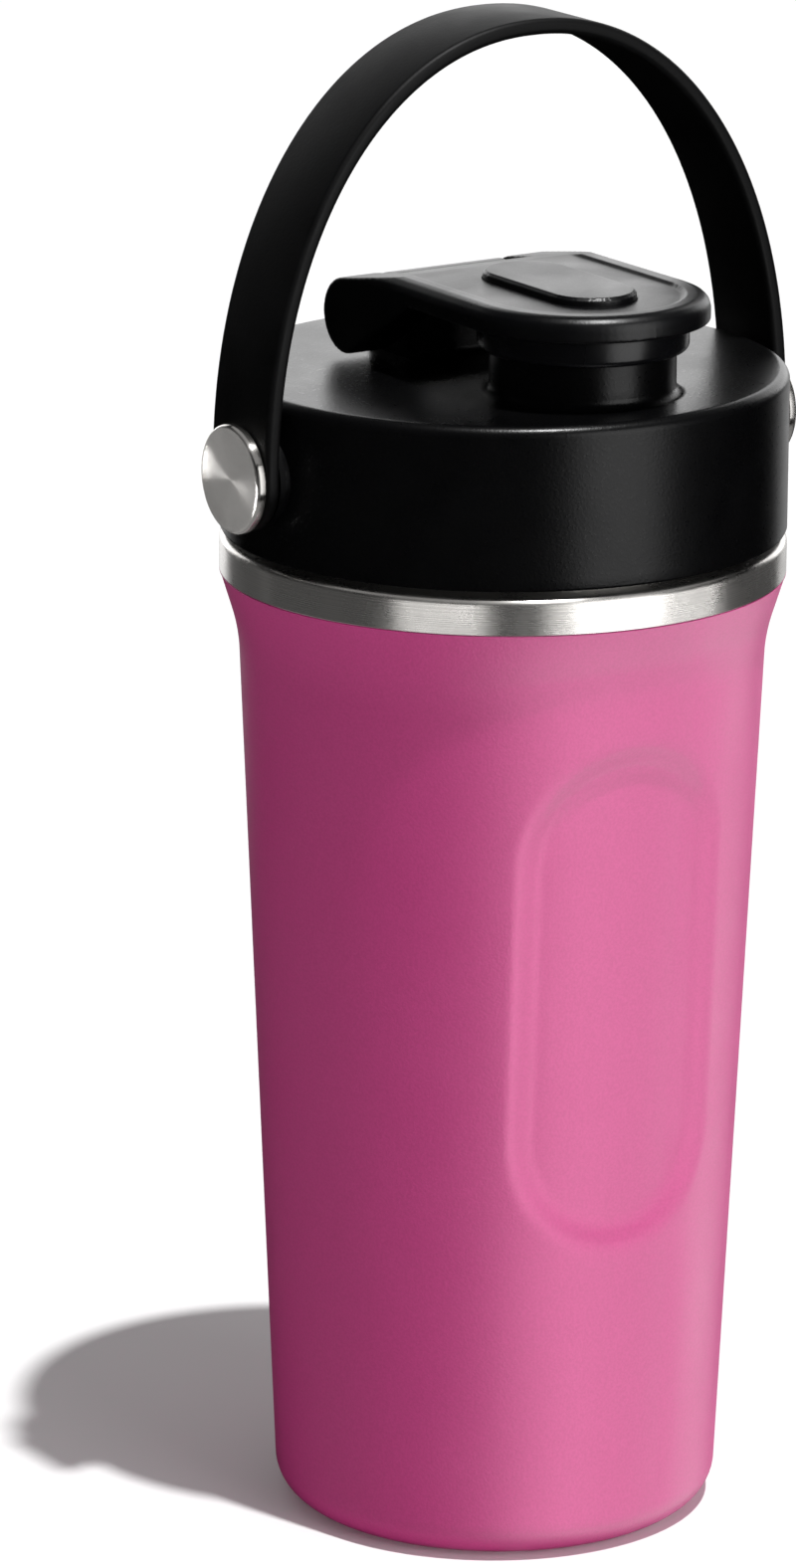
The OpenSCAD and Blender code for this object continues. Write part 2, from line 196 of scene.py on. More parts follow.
def makePowderCoat():
    s = powderFinish
    material, tree, point, shader = newMaterial("powderCoatPink")
    grain = grainBump(tree, point, s["grainMm"], s["grainDepthMm"], shader)
    blotch = addNode(tree, "ShaderNodeTexNoise", None, {
        "Vector": point, "Scale": scaleFor(s["blotchMm"]), "Detail": 4.0}).outputs["Fac"]
    colour = mixColour(tree, rangeOf(tree, grain, 0.0, 0.7, 0.35, 0.65), hexToLinear(s["lit"]),
                       hexToLinear(s["deep"]))
    # the foot is rubbed where it stands
    height = addNode(tree, "ShaderNodeSeparateXYZ", None, {"Vector": point}).outputs["Z"]
    foot = rangeOf(tree, height, 0.8, 0.0, 0.0, s["rubbedMm"] * mm)
    scuff = addNode(tree, "ShaderNodeMath", {"operation": "MULTIPLY"}, {
        0: foot, 1: rangeOf(tree, blotch, 0.0, 1.0, 0.45, 0.6)}).outputs[0]
    worn = mixColour(tree, scuff, colour, hexToLinear(s["rubbed"]))
    tree.links.new(worn, shader.inputs["Base Color"])
    tree.links.new(rangeOf(tree, blotch, s["roughLow"], s["roughHigh"], 0.3, 0.7), shader.inputs["Roughness"])
    shader.inputs["Specular IOR Level"].default_value = s["specular"]
    return material


# stainless steel: brushed, turned or rolled, the grooves stretch each highlight across themselves
steelFinish = {"grooveMm": 0.16, "grooveDepthMm": 0.006, "patchMm": 6.0, "dull": "#9C9A98"}


def makeSteel(name, tint, grooves, centre, roughLow, roughHigh, anisotropy=0.75):
    # grooves: band (round Z), face (round X) or spun (round Z, on a flat disc)
    s = steelFinish
    material, tree, point, shader = newMaterial(name)
    moved = addNode(tree, "ShaderNodeVectorMath", {"operation": "SUBTRACT"}, {0: point, 1: centre}).outputs[0]
    parts = addNode(tree, "ShaderNodeSeparateXYZ", None, {"Vector": moved})
    if grooves == "face":
        flat = addNode(tree, "ShaderNodeCombineXYZ", None, {"Y": parts.outputs["Y"], "Z": parts.outputs["Z"]})
    else:
        flat = addNode(tree, "ShaderNodeCombineXYZ", None, {"X": parts.outputs["X"], "Y": parts.outputs["Y"]})
    radius = addNode(tree, "ShaderNodeVectorMath", {"operation": "LENGTH"}, {
        0: flat.outputs[0]}).outputs["Value"]
    across = parts.outputs["Z"] if grooves == "band" else radius
    # each groove is a value of the noise along one line across the brushing
    line = addNode(tree, "ShaderNodeTexNoise", {"noise_dimensions": "1D"}, {
        "W": across, "Scale": scaleFor(s["grooveMm"]), "Detail": 3.0, "Roughness": 0.7}).outputs["Fac"]
    patch = addNode(tree, "ShaderNodeTexNoise", None, {
        "Vector": point, "Scale": scaleFor(s["patchMm"]), "Detail": 3.0}).outputs["Fac"]
    bump = addNode(tree, "ShaderNodeBump", None, {
        "Height": line, "Distance": s["grooveDepthMm"] * mm, "Strength": 1.0})
    tree.links.new(bump.outputs["Normal"], shader.inputs["Normal"])
    both = addNode(tree, "ShaderNodeMath", {"operation": "MULTIPLY_ADD"}, {0: line, 1: 0.6, 2: patch}).outputs[0]
    tree.links.new(rangeOf(tree, both, roughLow, roughHigh, 0.5, 1.1), shader.inputs["Roughness"])
    shade = mixColour(tree, rangeOf(tree, line, 0.0, 0.5, 0.3, 0.7), hexToLinear(tint), hexToLinear(s["dull"]))
    tree.links.new(shade, shader.inputs["Base Color"])
    shader.inputs["Metallic"].default_value = 1.0
    shader.inputs["Anisotropic"].default_value = anisotropy
    if grooves == "band":
        tangent = addNode(tree, "ShaderNodeCombineXYZ", None, {"Z": 1.0}).outputs[0]
    else:
        tangent = addNode(tree, "ShaderNodeVectorMath", {"operation": "NORMALIZE"}, {
            0: flat.outputs[0]}).outputs[0]
    world = addNode(tree, "ShaderNodeVectorTransform", {
        "vector_type": "VECTOR", "convert_from": "OBJECT", "convert_to": "WORLD"}, {"Vector": tangent})
    tree.links.new(world.outputs[0], shader.inputs["Tangent"])
    return material


# moulded plastics and rubbers: the mould's spark-eroded texture leaves a fine grain, smooth where it is rubbed
mouldedFinish = {"smearMm": 14.0}


def makeMoulded(name, tint, pale, grainMm, grainDepthMm, roughLow, roughHigh, specular=0.5, speckle=0.0):
    material, tree, point, shader = newMaterial(name)
    grain = grainBump(tree, point, grainMm, grainDepthMm, shader)
    smear = addNode(tree, "ShaderNodeTexNoise", None, {
        "Vector": point, "Scale": scaleFor(mouldedFinish["smearMm"]), "Detail": 5.0,
        "Distortion": 0.4}).outputs["Fac"]
    colour = mixColour(tree, rangeOf(tree, smear, 0.0, 1.0, 0.35, 0.75), hexToLinear(tint), hexToLinear(pale))
    tree.links.new(colour, shader.inputs["Base Color"])
    rough = rangeOf(tree, smear, roughLow, roughHigh, 0.3, 0.7)
    if speckle:
        # single crests of the grain catch the light
        crest = rangeOf(tree, grain, 0.0, -speckle, 0.6, 0.75)
        rough = addNode(tree, "ShaderNodeMath", {"operation": "ADD", "use_clamp": True}, {
            0: rough, 1: crest}).outputs[0]
    tree.links.new(rough, shader.inputs["Roughness"])
    shader.inputs["Specular IOR Level"].default_value = specular
    return material


# clear silicone: milky, soft, lets light through
siliconeFinish = {"pale": "#E4E3DE", "cloudy": "#CFCFCB", "grainMm": 0.6, "grainDepthMm": 0.02, "cloudMm": 8.0,
                  "roughLow": 0.25, "roughHigh": 0.4, "lightThrough": 0.3, "lightMm": 1.5}


def makeGasketSilicone():
    s = siliconeFinish
    material, tree, point, shader = newMaterial("siliconeMilky")
    grainBump(tree, point, s["grainMm"], s["grainDepthMm"], shader)
    cloud = addNode(tree, "ShaderNodeTexNoise", None, {
        "Vector": point, "Scale": scaleFor(s["cloudMm"])}).outputs["Fac"]
    tree.links.new(mixColour(tree, cloud, hexToLinear(s["pale"]), hexToLinear(s["cloudy"])),
                   shader.inputs["Base Color"])
    tree.links.new(rangeOf(tree, cloud, s["roughLow"], s["roughHigh"]), shader.inputs["Roughness"])
    shader.inputs["Subsurface Weight"].default_value = s["lightThrough"]
    shader.inputs["Subsurface Scale"].default_value = s["lightMm"] * mm
    return material


rivetCentre = nodeCentre("pin_cap_left")
powderCoat = makePowderCoat()
bandSteel = makeSteel("stainlessBrushedBand", "#D9D6D2", "band", (0, 0, 0), 0.22, 0.34)
linerSteel = makeSteel("stainlessPolishedLiner", "#D2D0CC", "band", (0, 0, 0), 0.22, 0.36, 0.5)
baseSteel = makeSteel("stainlessSpunBase", "#CFCCC8", "spun", (0, 0, 0), 0.28, 0.42, 0.6)
rivetSteel = makeSteel("stainlessTurnedFace", "#DEDBD7", "face", (0, 0, rivetCentre.z), 0.18, 0.26, 0.92)
pinSteel = makeSteel("stainlessDrawnWire", "#CFCDCA", "band", (0, 0, 0), 0.25, 0.4, 0.3)
getterMetal = makeSteel("getterAlloy", "#7F7E80", "spun", (0.013, 0, 0), 0.5, 0.7, 0.2)
lidPlastic = makeMoulded("polypropyleneBlackTextured", "#050506", "#080809", 0.5, 0.03, 0.28, 0.33, 0.34,
                         speckle=0.08)
capPlastic = makeMoulded("polypropyleneBlackSatin", "#060608", "#0A0A0C", 0.45, 0.02, 0.30, 0.40, speckle=0.06)
corePlastic = makeMoulded("polypropyleneBlackPlain", "#121214", "#17171A", 0.7, 0.02, 0.38, 0.5)
washerPlastic = makeMoulded("acetalBlack", "#040405", "#070708", 0.8, 0.01, 0.5, 0.6, 0.15)
strapRubber = makeMoulded("elastomerBlackMatt", "#050506", "#09090A", 0.55, 0.03, 0.46, 0.58, 0.28)
sealRubber = makeMoulded("siliconeBlackGloss", "#08080A", "#0E0E11", 1.4, 0.02, 0.22, 0.3)
gridPlastic = makeMoulded("polypropyleneCharcoal", "#26272B", "#303136", 0.7, 0.02, 0.35, 0.5)
foamPlastic = makeMoulded("foamClosedCell", "#C9C8C2", "#BEBDB6", 0.9, 0.12, 0.75, 0.9)
gasketSilicone = makeGasketSilicone()
print("materials made")

# CAD nodes whose shape is right keep it, and take a finish
cadFinishes = {
    "inner_liner": linerSteel, "neck_thread": linerSteel, "base_cap": baseSteel, "getter": getterMetal,
    "seal_bead": getterMetal, "lid_gasket": gasketSilicone, "lid_core": corePlastic, "lid_thread": corePlastic,
    "lid_insulation": foamPlastic, "strap_washer_left": washerPlastic, "strap_washer_right": washerPlastic,
    "plug_carrier": corePlastic, "hinge_pin": pinSteel}
for nodeName, finish in cadFinishes.items():
    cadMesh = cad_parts[nodeName].data
    cadMesh.materials.clear()
    cadMesh.materials.append(finish)
print("CAD nodes finished")


# painted shell with the pressed grips
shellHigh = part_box("outer_shell")[1]
shellSize = {"segments": 288, "baseR": 36.7, "baseRound": 6.6, "waistR": 42.7, "waistZ": 145.0, "bendR": 30.0,
             "flareDegrees": 17.5, "footR": 26.0, "wall": 0.8, "rimR": shellHigh.x / mm, "topZ": shellHigh.z / mm,
             "gripDepth": 1.75, "gripWidth": 37.0, "gripHeight": 83.0, "gripZ": 96.0, "gripTurn": -3.0,
             "gripEdge": 4.6, "taperRows": 92}


def gripDent(angle, radius, z):
    # how far the wall is pressed in: a stadium with soft edges, on the front and on the back
    s = shellSize
    dent = 0.0
    for side in (-90 + s["gripTurn"], 90 + s["gripTurn"]):
        off = math.atan2(math.sin(angle - math.radians(side)), math.cos(angle - math.radians(side))) * radius
        straight = (s["gripHeight"] - s["gripWidth"]) / 2
        up = max(0.0, abs(z - s["gripZ"]) - straight)
        inside = s["gripWidth"] / 2 - math.hypot(off, up)
        share = min(1.0, max(0.0, inside / s["gripEdge"] + 0.3))
        dent += share * share * (3 - 2 * share)
    return dent * s["gripDepth"]


def shellProfile():
    s = shellSize
    taperAngle = math.degrees(math.atan((s["waistR"] - s["baseR"]) / (s["waistZ"] - s["baseRound"])))
    points = [(s["footR"] + 0.02, s["wall"]), (s["footR"] + 0.02, 0.15), (s["footR"] + 0.2, 0.0)]
    points += arcPoints(s["baseR"] - s["baseRound"], s["baseRound"], s["baseRound"], -90, 0, 14)
    for i in range(1, s["taperRows"]):
        share = i / s["taperRows"]
        points.append((s["baseR"] + (s["waistR"] - s["baseR"]) * share,
                       s["baseRound"] + (s["waistZ"] - s["baseRound"]) * share))
    a = math.radians(taperAngle)
    points += arcPoints(s["waistR"] + s["bendR"] * math.cos(a), s["waistZ"] - s["bendR"] * math.sin(a), s["bendR"],
                        180 - taperAngle, 180 - s["flareDegrees"], 9)
    points.append((s["rimR"] - 0.15, s["topZ"] - 0.35))
    return points


def dentedRing(radius, z):
    s = shellSize
    ring = []
    for i in range(s["segments"]):
        a = turn * i / s["segments"]
        pressed = radius - gripDent(a, radius, z)
        ring.append((pressed * math.cos(a), pressed * math.sin(a), z))
    return ring


def makeShell():
    s = shellSize
    outer = shellProfile()
    # the sheet turns in at the top and comes back down inside, coarser
    inner = [(s["rimR"], s["topZ"] - 0.1), (s["rimR"] - 0.1, s["topZ"]), (s["rimR"] - s["wall"], s["topZ"])]
    inner += [(r - s["wall"], z) for r, z in reversed(outer[20:-1:4])]
    inner += arcPoints(s["baseR"] - s["baseRound"], s["baseRound"], s["baseRound"] - s["wall"], 0, -90, 6)
    rings = [dentedRing(r, z) for r, z in outer + inner]
    return makeObject("powderShell", loftMesh("powderShell", rings, rowsClosed=True))


shell = smoothShade(makeShell(), 40)
settle(shell, powderCoat, "bottle", "powder_coat", "outer_shell")
print("shell made")

# bare band with a rolled top edge
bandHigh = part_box("shoulder_ring")[1]
bandSize = {"segments": 256, "rimR": bandHigh.x / mm, "lowZ": shellHigh.z / mm + 0.05, "topZ": bandHigh.z / mm,
            "neckR": 40.62, "corner": 1.2, "wall": 0.8}


def makeBand():
    s = bandSize
    profile = [(s["rimR"] - s["wall"], s["lowZ"]), (s["rimR"] - 0.12, s["lowZ"]), (s["rimR"], s["lowZ"] + 0.12)]
    profile += arcPoints(s["rimR"] - s["corner"], s["topZ"] - s["corner"], s["corner"], 0, 90, 10)
    profile += [(s["neckR"], s["topZ"]), (s["neckR"], s["topZ"] - s["wall"])]
    profile += arcPoints(s["rimR"] - s["corner"], s["topZ"] - s["corner"], s["corner"] - s["wall"], 90, 0, 4)
    return makeObject("bareBand", loftMesh("bareBand", latheRings(profile, s["segments"]), rowsClosed=True))


band = settle(smoothShade(makeBand()), bandSteel, "bottle", "brushed_band", "shoulder_ring")
print("band made")

# lid: skirt and deck, spout, hinge knuckle and pivot posts
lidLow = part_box("lid_shell")[0]
pivotZ = rivetCentre.z / mm
hingeCentre = nodeCentre("hinge_pin") / mm
spoutCentre = nodeCentre("spout_seal") / mm
lidSize = {"segments": 256, "outerR": 46.0, "lowZ": lidLow.z / mm, "deckZ": 192.3, "wall": 2.0, "edgeRound": 1.8,
           "spoutSegments": 160, "spoutR": 14.9, "spoutBore": 12.9, "spoutTop": 201.8, "spoutLip": 0.6, "foot": 1.7,
           "coreDeckZ": 184.5, "knuckleR": 6.1, "knuckleHalf": 11.3, "postSegments": 96, "postR": 5.5,
           "postEnd": 50.4, "postRoot": 44.5, "bossR": 7.6, "bossEnd": 46.5, "pinHoleR": 2.6, "pinHoleEnd": 46.2}


def turned(side):
    # from Z to the pivots' axis, on one side of the lid
    return Matrix.Translation((0, 0, pivotZ)) @ Matrix.Rotation(side * math.pi / 2, 4, "Y")


def makeLidParts():
    s = lidSize
    inner = s["outerR"] - s["wall"]
    under = s["deckZ"] - s["wall"]
    wall = [(inner, s["lowZ"]), (s["outerR"] - 0.5, s["lowZ"]), (s["outerR"] - 0.15, s["lowZ"] + 0.15),
            (s["outerR"], s["lowZ"] + 0.5), (s["outerR"], s["lowZ"] + 2)]
    wall += arcPoints(s["outerR"] - s["edgeRound"], s["deckZ"] - s["edgeRound"], s["edgeRound"], 0, 90, 10)
    wall += [(s["outerR"] - 3, s["deckZ"]), (0, s["deckZ"]), (0, under), (inner - 1, under), (inner, under - 1)]
    body = loftMesh("lidBody", latheRings(wall, s["segments"]), rowsClosed=True)
    spoutPlace = Matrix.Translation((spoutCentre.x, spoutCentre.y, 0))
    tube = [(s["spoutBore"], s["coreDeckZ"]), (s["spoutR"], s["coreDeckZ"]), (s["spoutR"], s["deckZ"] - 0.6),
            (s["spoutR"] + s["foot"], s["deckZ"] - 0.3)]
    tube += arcPoints(s["spoutR"] + s["foot"], s["deckZ"] + s["foot"], s["foot"], 270, 180, 8)
    lip = s["spoutLip"]
    tube += arcPoints(s["spoutR"] - lip, s["spoutTop"] - lip, lip, 0, 90, 4)
    tube += arcPoints(s["spoutBore"] + lip, s["spoutTop"] - lip, lip, 90, 180, 4)
    spout = loftMesh("spoutTube", latheRings(tube, s["spoutSegments"], spoutPlace), rowsClosed=True)
    # the bore is cut a hair wider than the tube that then fills its wall
    cutR = s["spoutBore"] + 0.02
    bore = loftMesh("spoutBore", latheRings([(cutR, 180), (cutR, 200)], s["spoutSegments"], spoutPlace),
                    capped=True)
    posts = []
    for side in (-1, 1):
        post = [(0, s["postRoot"]), (s["bossR"], s["postRoot"]), (s["bossR"], s["bossEnd"]),
                (s["postR"], s["bossEnd"]), (s["postR"], s["postEnd"]), (s["pinHoleR"], s["postEnd"]),
                (s["pinHoleR"], s["pinHoleEnd"]), (0, s["pinHoleEnd"])]
        posts.append(loftMesh("pivotPost", latheRings(post, s["postSegments"], turned(side)), rowsClosed=True))
    # knuckle: a block that rises into a barrel, its edges eased
    outline = [(hingeCentre.y - s["knuckleR"] - 1.2, s["deckZ"] - 0.6),
               (hingeCentre.y - s["knuckleR"] - 0.4, s["deckZ"] + 0.2),
               (hingeCentre.y - s["knuckleR"], s["deckZ"] + 1.0)]
    outline += arcPoints(hingeCentre.y, hingeCentre.z, s["knuckleR"], 180, 0, 32)
    outline += [(hingeCentre.y + s["knuckleR"], s["deckZ"] + 1.0),
                (hingeCentre.y + s["knuckleR"] + 0.4, s["deckZ"] + 0.2),
                (hingeCentre.y + s["knuckleR"] + 1.2, s["deckZ"] - 0.6)]
    middle = Vector((0, hingeCentre.y, hingeCentre.z - 2))
    rings = []
    for x, inset in ((-s["knuckleHalf"], 0.5), (-s["knuckleHalf"] + 0.15, 0.15), (-s["knuckleHalf"] + 0.5, 0.0),
                     (s["knuckleHalf"] - 0.5, 0.0), (s["knuckleHalf"] - 0.15, 0.15), (s["knuckleHalf"], 0.5)):
        share = 1 - inset / s["knuckleR"]
        rings.append([(x, middle.y + (y - middle.y) * share,
                       max(middle.z + (z - middle.z) * share, s["deckZ"] - 0.6)) for y, z in outline])
    knuckle = loftMesh("hingeKnuckle", rings, capped=True)
    return body, spout, bore, posts, knuckle


def booleanWith(piece, mesh, operation):
    tool = makeObject("tool", mesh)
    cut = piece.modifiers.new("join", "BOOLEAN")
    cut.operation = operation
    cut.solver = "EXACT"
    cut.object = tool
    applyModifiers(piece)
    bpy.data.objects.remove(tool)
    return piece


def makeLid():
    body, spout, bore, posts, knuckle = makeLidParts()
    lid = makeObject("lidCover", body)
    booleanWith(lid, bore, "DIFFERENCE")
    for part in [spout, knuckle] + posts:
        booleanWith(lid, part, "UNION")
    smoothShade(lid, 35)
    weighted = lid.modifiers.new("weighted", "WEIGHTED_NORMAL")
    weighted.keep_sharp = True
    return applyModifiers(lid)


lid = makeLid()
settle(lid, lidPlastic, "lid", "lid_plastic", "lid_shell")
print("lid made", len(lid.data.polygons))

# pivot caps: turned steel heads with a bevelled rim and a face dished towards the middle
rivetSize = {"segments": 128, "headR": 8.8, "headT": 1.7, "shankR": 2.5, "shankIn": 46.4, "start": 50.45,
             "bevel": 0.75, "edge": 0.3, "dish": 0.18}


def makeRivet(side, name, node):
    s = rivetSize
    end = s["start"] + s["headT"]
    edge = s["edge"]
    profile = [(0, s["shankIn"]), (s["shankR"] - edge, s["shankIn"]), (s["shankR"], s["shankIn"] + edge),
               (s["shankR"], s["start"]), (s["headR"] - edge, s["start"])]
    profile += arcPoints(s["headR"] - edge, s["start"] + edge, edge, -90, 0, 4)
    profile += arcPoints(s["headR"] - s["bevel"], end - s["bevel"], s["bevel"], 0, 90, 8)
    profile += [(s["headR"] - s["bevel"] - 0.25, end - 0.02), (s["headR"] - s["bevel"] - 0.5, end - 0.1),
                (s["headR"] / 2, end - 0.1 - s["dish"] * 0.6), (0, end - 0.1 - s["dish"])]
    rings = latheRings(profile, s["segments"], turned(side))
    rivet = smoothShade(makeObject(name, loftMesh(name, rings)), 25)
    return settle(rivet, rivetSteel, "lid", "spun_steel", node)


rivets = [makeRivet(-1, "pivotCapLeft", "pin_cap_left"), makeRivet(1, "pivotCapRight", "pin_cap_right")]
print("pivot caps made")

# strap: a rounded ribbon bent over a squarish arch, with round ends about the pivots
strapSize = {"a": 50.3, "b": 70.0, "power": 2.12, "thick": 2.6, "width": 17.0, "edge": 0.95, "stations": 180,
             "endDegrees": (90, 84, 76, 67, 57, 46, 34, 22, 11), "holeR": 5.58, "holeSegments": 96}


def strapPath():
    # points along the arch's outside face, straight below each pivot
    s = strapSize
    points = []
    for i in range(s["stations"] + 1):
        t = math.pi * i / s["stations"]
        c, q = math.cos(t), math.sin(t)
        points.append(Vector((s["a"] * math.copysign(abs(c) ** (2 / s["power"]), c), 0,
                              pivotZ + s["b"] * q ** (2 / s["power"]))))
    drops = [s["width"] / 2 * math.sin(math.radians(v)) for v in s["endDegrees"]]
    before = [Vector((s["a"], 0, pivotZ - d)) for d in drops]
    after = [Vector((-s["a"], 0, pivotZ - d)) for d in reversed(drops)]
    return before + points + after


def strapSection(half, thick):
    # rounded rectangle: across the width and through the thickness
    s = strapSize
    edge = min(s["edge"], half * 0.9)
    corner = [(half - edge, thick / 2 - edge, 0), (half - edge, -thick / 2 + edge, -90)]
    section = []
    for w, t, start in corner:
        for k in range(7):
            a = math.radians(start + 90 - 15 * k)
            section.append((w + edge * math.cos(a), t + edge * math.sin(a)))
    return section + [(-w, t) for w, t in reversed(section)]


def makeStrap():
    s = strapSize
    path = strapPath()
    rings = []
    for i, p in enumerate(path):
        ahead = path[min(i + 1, len(path) - 1)] - path[max(i - 1, 0)]
        ahead.normalize()
        inward = Vector((ahead.z, 0, -ahead.x))
        if inward.dot(Vector((-p.x, 0, pivotZ - p.z))) < 0:
            inward = -inward
        below = max(0.0, pivotZ - p.z)
        half = math.sqrt(max(0.0004, (s["width"] / 2) ** 2 - below ** 2))
        centre = p + inward * (s["thick"] / 2)
        section = strapSection(half, s["thick"])
        rings.append([centre + Vector((0, 1, 0)) * w - inward * t for w, t in section])
    strap = makeObject("carryStrap", loftMesh("carryStrap", rings, capped=True))
    hole = [(s["holeR"], -60), (s["holeR"], 60)]
    bore = loftMesh("strapHole", latheRings(hole, s["holeSegments"], turned(1)), capped=True)
    booleanWith(strap, bore, "DIFFERENCE")
    return strap


strap = smoothShade(makeStrap(), 35)
settle(strap, strapRubber, "handle", "strap_tpe", "strap")
print("strap made", len(strap.data.polygons))


# flip cap and its thumb rest: the CAD shape with every edge eased as a moulding's are
capSize = {"voxelMm": 0.3, "easeRounds": 3}
restSize = {"voxelMm": 0.2, "easeRounds": 3}


def easedCopy(node, name, s):
    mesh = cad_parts[node].data.copy()
    work = bmesh.new()
    work.from_mesh(mesh)
    bmesh.ops.remove_doubles(work, verts=work.verts, dist=1e-6)
    work.to_mesh(mesh)
    work.free()
    piece = makeObject(name, mesh)
    blocks = piece.modifiers.new("blocks", "REMESH")
    blocks.mode = "VOXEL"
    blocks.voxel_size = s["voxelMm"] * mm
    ease = piece.modifiers.new("ease", "SMOOTH")
    ease.factor = 0.5
    ease.iterations = s["easeRounds"]
    return smoothShade(applyModifiers(piece), 180)


capTop = easedCopy("cap_plate", "flipCap", capSize)
settle(capTop, capPlastic, "flip_cap", "cap_plastic", "cap_plate")
thumbRest = easedCopy("thumb_pad", "thumbRest", restSize)
settle(thumbRest, capPlastic, "flip_cap", "cap_plastic", "thumb_pad")
print("flip cap made", len(capTop.data.polygons))

# spout seal: glossy cup with a rolled lower edge
sealLow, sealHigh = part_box("spout_seal")
sealSize = {"segments": 160, "outerR": (sealHigh.x - sealLow.x) / 2 / mm, "lipR": 12.75, "boreR": 11.25,
            "skirtR": 15.25, "lowZ": 199.4, "topZ": sealHigh.z / mm, "plugZ": sealLow.z / mm,
            "roofZ": 202.3, "lip": 0.4, "edge": 0.3, "roll": 1.1}


def makeSeal():
    s = sealSize
    lip, edge, roll = s["lip"], s["edge"], s["roll"]
    profile = [(s["boreR"], s["plugZ"]), (s["lipR"] - lip, s["plugZ"])]
    profile += arcPoints(s["lipR"] - lip, s["plugZ"] + lip, lip, -90, 0, 5)
    profile += [(s["lipR"], s["roofZ"]), (s["skirtR"], s["roofZ"]), (s["skirtR"], s["lowZ"] + edge)]
    profile += arcPoints(s["skirtR"] + edge, s["lowZ"] + edge, edge, 180, 270, 4)
    profile += arcPoints(s["outerR"] - roll, s["lowZ"] + roll, roll, -90, 0, 8)
    profile += [(s["outerR"], s["topZ"] - 0.6), (s["outerR"] - 0.25, s["topZ"]), (s["boreR"], s["topZ"])]
    place = Matrix.Translation((spoutCentre.x, spoutCentre.y, 0))
    rings = latheRings(profile, s["segments"], place)
    return makeObject("spoutSeal", loftMesh("spoutSeal", rings, rowsClosed=True))


settle(smoothShade(makeSeal()), sealRubber, "flip_cap", "seal_silicone", "spout_seal")
print("seal made")

# mixing grid: ribs repeated round a collar, built by geometry nodes
gridSize = {"ribs": 12, "domeR": 34.9, "depth": 17.0, "rimZ": 177.0, "barMm": 1.5, "ringShares": (0.55, 0.85),
            "collar": [(34.75, 177.0), (37.45, 177.0), (37.65, 177.2), (37.65, 178.0), (37.45, 178.2),
                       (36.35, 178.2), (36.35, 183.8), (36.15, 184.0), (34.95, 184.0), (34.75, 183.8)],
            "hubR": 6.0, "hubHeight": 1.5, "hubEdge": 0.4}


def domeRadius(depth):
    s = gridSize
    return s["domeR"] * math.sqrt(max(0.0, 1 - (depth / (s["depth"] + 0.6)) ** 2))


def buildRibTree():
    # one rib is a swept arc of the dome; the tree copies it round Z
    tree = bpy.data.node_groups.new("gridRibs", "GeometryNodeTree")
    tree.interface.new_socket("Geometry", in_out="OUTPUT", socket_type="NodeSocketGeometry")
    for name, kind in (("Geometry", "NodeSocketGeometry"), ("Rib Count", "NodeSocketInt"),
                       ("Bar Radius", "NodeSocketFloat"), ("Finish", "NodeSocketMaterial")):
        tree.interface.new_socket(name, in_out="INPUT", socket_type=kind)
    given = addNode(tree, "NodeGroupInput")
    curve = addNode(tree, "GeometryNodeMeshToCurve", None, {"Mesh": given.outputs["Geometry"]})
    circle = addNode(tree, "GeometryNodeCurvePrimitiveCircle", None, {
        "Resolution": 10, "Radius": given.outputs["Bar Radius"]})
    rib = addNode(tree, "GeometryNodeCurveToMesh", None, {
        "Curve": curve.outputs[0], "Profile Curve": circle.outputs[0], "Fill Caps": True})
    points = addNode(tree, "GeometryNodePoints", None, {"Count": given.outputs["Rib Count"]})
    index = addNode(tree, "GeometryNodeInputIndex")
    step = addNode(tree, "ShaderNodeMath", {"operation": "DIVIDE"}, {0: turn, 1: given.outputs["Rib Count"]})
    angle = addNode(tree, "ShaderNodeMath", {"operation": "MULTIPLY"}, {0: index.outputs[0], 1: step.outputs[0]})
    spin = addNode(tree, "ShaderNodeCombineXYZ", None, {"Z": angle.outputs[0]})
    copies = addNode(tree, "GeometryNodeInstanceOnPoints", None, {
        "Points": points.outputs[0], "Instance": rib.outputs[0], "Rotation": spin.outputs[0]})
    real = addNode(tree, "GeometryNodeRealizeInstances", None, {"Geometry": copies.outputs[0]})
    finish = addNode(tree, "GeometryNodeSetMaterial", None, {
        "Geometry": real.outputs[0], "Material": given.outputs["Finish"]})
    output = addNode(tree, "NodeGroupOutput")
    tree.links.new(finish.outputs[0], output.inputs[0])
    return tree


def setInputs(modifier, values):
    for item in modifier.node_group.interface.items_tree:
        if item.item_type == "SOCKET" and item.in_out == "INPUT" and item.name in values:
            modifier[item.identifier] = values[item.name]


def makeRibs():
    s = gridSize
    path = [Vector((domeRadius(s["depth"] * k / 16) - 0.8, 0, s["rimZ"] + 0.6 - s["depth"] * k / 16)) * mm
            for k in range(17)]
    path.append(Vector((4, 0, s["rimZ"] + 0.6 - s["depth"])) * mm)
    mesh = bpy.data.meshes.new("ribPath")
    mesh.from_pydata(path, [(i, i + 1) for i in range(len(path) - 1)], [])
    ribs = makeObject("ribs", mesh)
    modifier = ribs.modifiers.new("ribs", "NODES")
    modifier.node_group = buildRibTree()
    setInputs(modifier, {"Rib Count": s["ribs"], "Bar Radius": s["barMm"] / 2 * mm, "Finish": gridPlastic})
    return applyModifiers(ribs)


